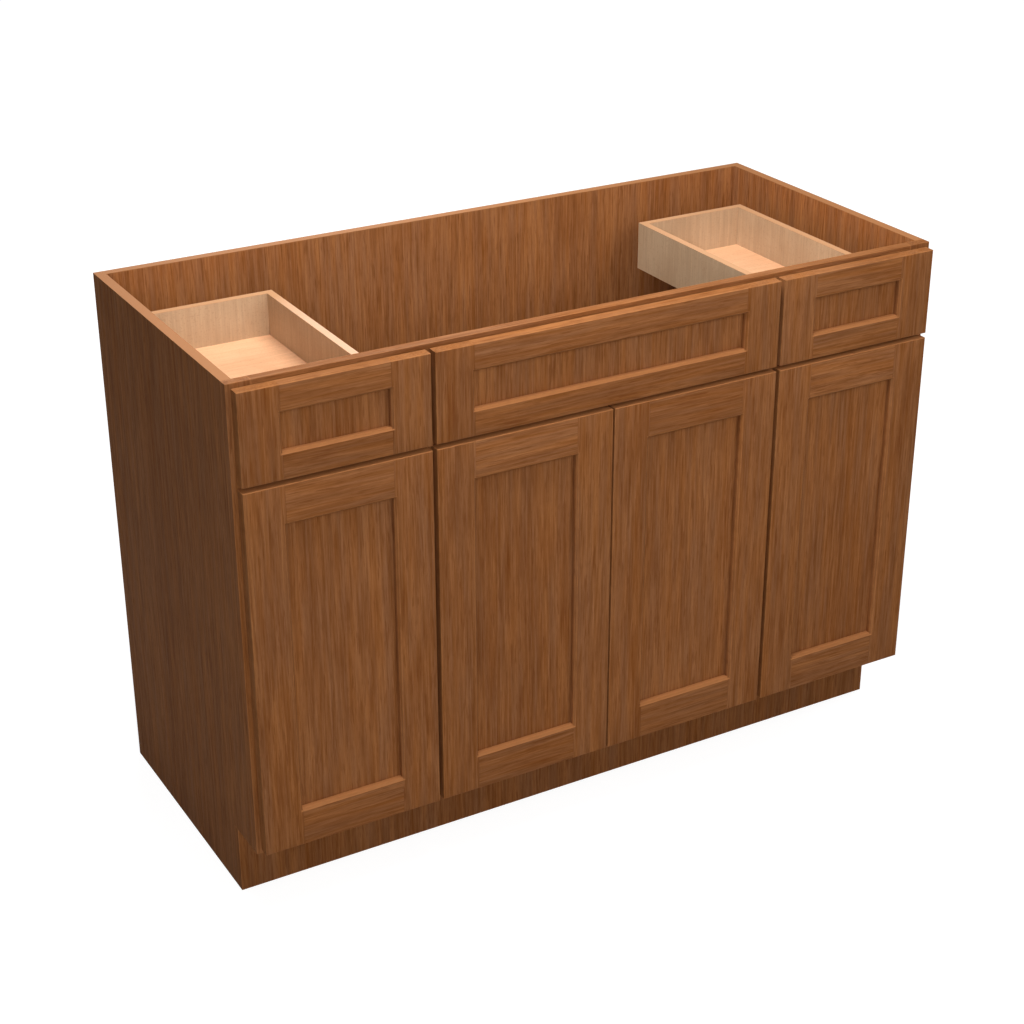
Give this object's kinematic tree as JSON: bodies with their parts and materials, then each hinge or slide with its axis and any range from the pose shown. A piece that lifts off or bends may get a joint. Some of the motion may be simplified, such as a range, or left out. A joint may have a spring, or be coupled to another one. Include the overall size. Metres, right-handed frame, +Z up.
{
  "type": "sink base cabinet",
  "caption": "Face-framed sink base cabinet with an open top, drawers either side of a false front, and full-overlay recessed-panel doors.",
  "frame": {"origin": "middle of the floor rectangle that the whole cabinet covers, fronts included", "axes": "+X along the front to the right as seen by someone facing it, +Y back to the wall, +Z up; the doors face -Y"},
  "size_m": [1.2192, 0.5504, 0.8763],
  "materials": {
    "stained_wood_upright": "satin clear coat over a mid-brown stain, grain upright",
    "stained_wood_across": "satin clear coat over a mid-brown stain, grain along the rail",
    "stained_veneer": "satin stained veneer, grain upright",
    "drawer_board": "pale clear-coated maple",
    "drawer_floor": "pale clear-coated maple veneer",
    "plain_board": "unfinished softwood",
    "hinge_steel": "nickel plated",
    "track_steel": "zinc plated",
    "screw_steel": "zinc plated",
    "moulded_plastic": "moulded nylon",
    "bumper_soft": "soft clear polymer"
  },
  "bodies": {
    "root": {"back_panel": "stained_veneer", "bottom_panel": "stained_veneer", "bottom_support": "plain_board", "bumpers": "bumper_soft", "carcass_screws": "screw_steel", "drawer_corner_guides": "moulded_plastic", "drawer_tracks": "track_steel", "false_front_cleats": "plain_board", "false_front_panel": "stained_veneer", "false_front_rails": "stained_wood_across", "false_front_stiles": "stained_wood_upright", "frame_bottom_rail": "stained_wood_across", "frame_mid_rail_centre": "stained_wood_across", "frame_mid_rail_left": "stained_wood_across", "frame_mid_rail_right": "stained_wood_across", "frame_mullion_left": "stained_wood_upright", "frame_mullion_right": "stained_wood_upright", "frame_stile_left": "stained_wood_upright", "frame_stile_right": "stained_wood_upright", "frame_top_rail": "stained_wood_across", "hinge_pins": "hinge_steel", "hinge_plates": "hinge_steel", "side_panel_left": "stained_veneer", "side_panel_right": "stained_veneer", "toe_kick_board": "stained_veneer", "track_brackets": "moulded_plastic"},
    "drawer_left": {"drawer_left_box": "drawer_board", "drawer_left_floor": "drawer_floor", "drawer_left_front_panel": "stained_veneer", "drawer_left_front_rails": "stained_wood_across", "drawer_left_front_stiles": "stained_wood_upright", "drawer_left_rear_guide": "moulded_plastic", "drawer_left_screws": "screw_steel"},
    "drawer_right": {"drawer_right_box": "drawer_board", "drawer_right_floor": "drawer_floor", "drawer_right_front_panel": "stained_veneer", "drawer_right_front_rails": "stained_wood_across", "drawer_right_front_stiles": "stained_wood_upright", "drawer_right_rear_guide": "moulded_plastic", "drawer_right_screws": "screw_steel"},
    "door_left": {"door_left_stiles": "stained_wood_upright", "door_left_rails": "stained_wood_across", "door_left_panel": "stained_veneer", "hinge_cups_left": "hinge_steel"},
    "hinge_arm_left": {"hinge_arms_left": "hinge_steel"},
    "door_centre_left": {"door_centre_left_stiles": "stained_wood_upright", "door_centre_left_rails": "stained_wood_across", "door_centre_left_panel": "stained_veneer", "hinge_cups_centre_left": "hinge_steel"},
    "hinge_arm_centre_left": {"hinge_arms_centre_left": "hinge_steel"},
    "door_centre_right": {"door_centre_right_stiles": "stained_wood_upright", "door_centre_right_rails": "stained_wood_across", "door_centre_right_panel": "stained_veneer", "hinge_cups_centre_right": "hinge_steel"},
    "hinge_arm_centre_right": {"hinge_arms_centre_right": "hinge_steel"},
    "door_right": {"door_right_stiles": "stained_wood_upright", "door_right_rails": "stained_wood_across", "door_right_panel": "stained_veneer", "hinge_cups_right": "hinge_steel"},
    "hinge_arm_right": {"hinge_arms_right": "hinge_steel"}
  },
  "joints": [
    {"name": "drawer_left_slide", "type": "slide", "parent": "root", "child": "drawer_left", "axis": [0, -1, 0], "range_m": [0, 0.34]},
    {"name": "drawer_right_slide", "type": "slide", "parent": "root", "child": "drawer_right", "axis": [0, -1, 0], "range_m": [0, 0.34]},
    {"name": "door_left_swing", "type": "hinge", "parent": "root", "child": "door_left", "pos_m": [-0.598, -0.26817, 0.4204], "axis": [0, 0, -1], "range_deg": [0, 100]},
    {"name": "door_centre_left_swing", "type": "hinge", "parent": "root", "child": "door_centre_left", "pos_m": [-0.2968, -0.26817, 0.4204], "axis": [0, 0, -1], "range_deg": [0, 100]},
    {"name": "door_centre_right_swing", "type": "hinge", "parent": "root", "child": "door_centre_right", "pos_m": [0.2968, -0.26817, 0.4204], "axis": [0, 0, 1], "range_deg": [0, 100]},
    {"name": "door_right_swing", "type": "hinge", "parent": "root", "child": "door_right", "pos_m": [0.598, -0.26817, 0.4204], "axis": [0, 0, 1], "range_deg": [0, 100]},
    {"name": "hinge_arm_left_turn", "type": "hinge", "parent": "root", "child": "hinge_arm_left", "pos_m": [-0.565, -0.25198, 0.4204], "axis": [0, 0, -1], "range_deg": [-24, 0]},
    {"name": "hinge_arm_centre_left_turn", "type": "hinge", "parent": "root", "child": "hinge_arm_centre_left", "pos_m": [-0.2638, -0.25198, 0.4204], "axis": [0, 0, -1], "range_deg": [-24, 0]},
    {"name": "hinge_arm_centre_right_turn", "type": "hinge", "parent": "root", "child": "hinge_arm_centre_right", "pos_m": [0.2638, -0.25198, 0.4204], "axis": [0, 0, 1], "range_deg": [-24, 0]},
    {"name": "hinge_arm_right_turn", "type": "hinge", "parent": "root", "child": "hinge_arm_right", "pos_m": [0.565, -0.25198, 0.4204], "axis": [0, 0, 1], "range_deg": [-24, 0]}
  ],
  "couplings": [
    {"joint": "hinge_arm_left_turn", "follows": "door_left_swing", "ratio": -0.233},
    {"joint": "hinge_arm_centre_left_turn", "follows": "door_centre_left_swing", "ratio": -0.233},
    {"joint": "hinge_arm_centre_right_turn", "follows": "door_centre_right_swing", "ratio": -0.233},
    {"joint": "hinge_arm_right_turn", "follows": "door_right_swing", "ratio": -0.233}
  ]
}
